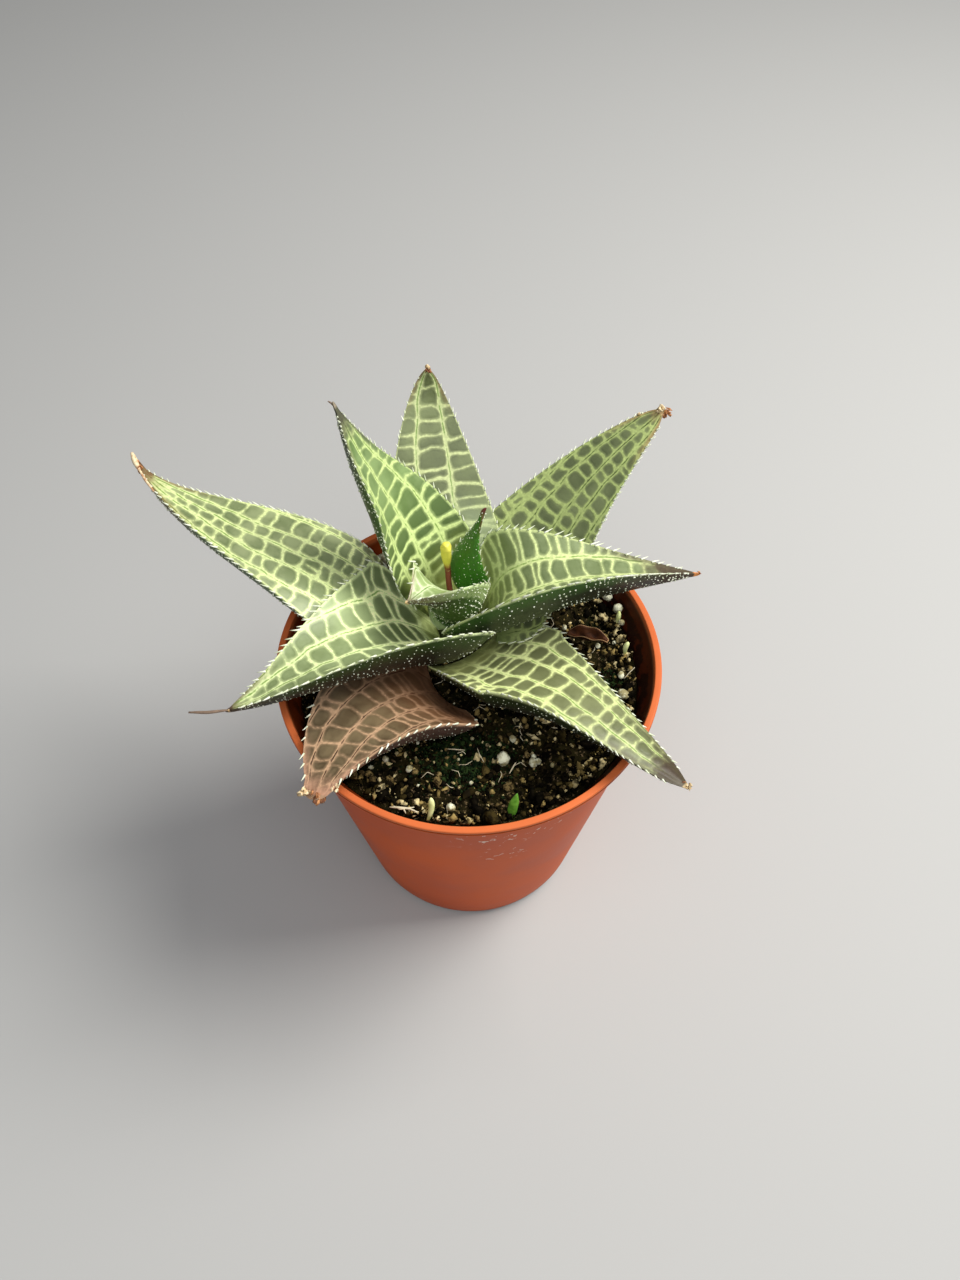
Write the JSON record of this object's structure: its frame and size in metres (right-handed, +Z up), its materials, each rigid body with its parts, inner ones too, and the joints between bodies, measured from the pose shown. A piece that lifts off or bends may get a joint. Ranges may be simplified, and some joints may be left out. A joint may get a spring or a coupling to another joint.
{
  "type": "potted haworthia tessellata",
  "caption": "Small rosette succulent with thick pointed leaves marked with a pale net, growing in a round tapered plastic nursery pot.",
  "frame": {"origin": "middle of the pot's flat underside", "axes": "+Z up; the front, towards -Y, is the side where the old brown leaf lies over the rim"},
  "size_m": [0.0812, 0.0628, 0.0848],
  "materials": {
    "pot_plastic": "smooth moulded terracotta-orange plastic with a slight sheen",
    "soil": "dark peat mix with perlite and grit",
    "stem": "short green-brown stem",
    "dry_stalk": "dry yellow flower stalk",
    "leaf": "waxy grey-green succulent leaf with a pale net",
    "old_leaf": "browned succulent leaf with a dull pink-brown net"
  },
  "bodies": {
    "root": {"pot": "pot_plastic", "soil": "soil", "stem": "stem", "flower_stalk_stub": "dry_stalk", "leaf_left": "leaf", "leaf_inner_upright": "leaf", "leaf_back": "leaf", "leaf_right_back": "leaf", "leaf_right": "leaf", "leaf_lower_right": "leaf", "leaf_front_left": "leaf", "leaf_old_brown": "old_leaf", "leaf_centre_fold": "leaf", "leaf_centre_bud": "leaf", "leaf_hidden_right": "leaf"}
  },
  "joints": []
}
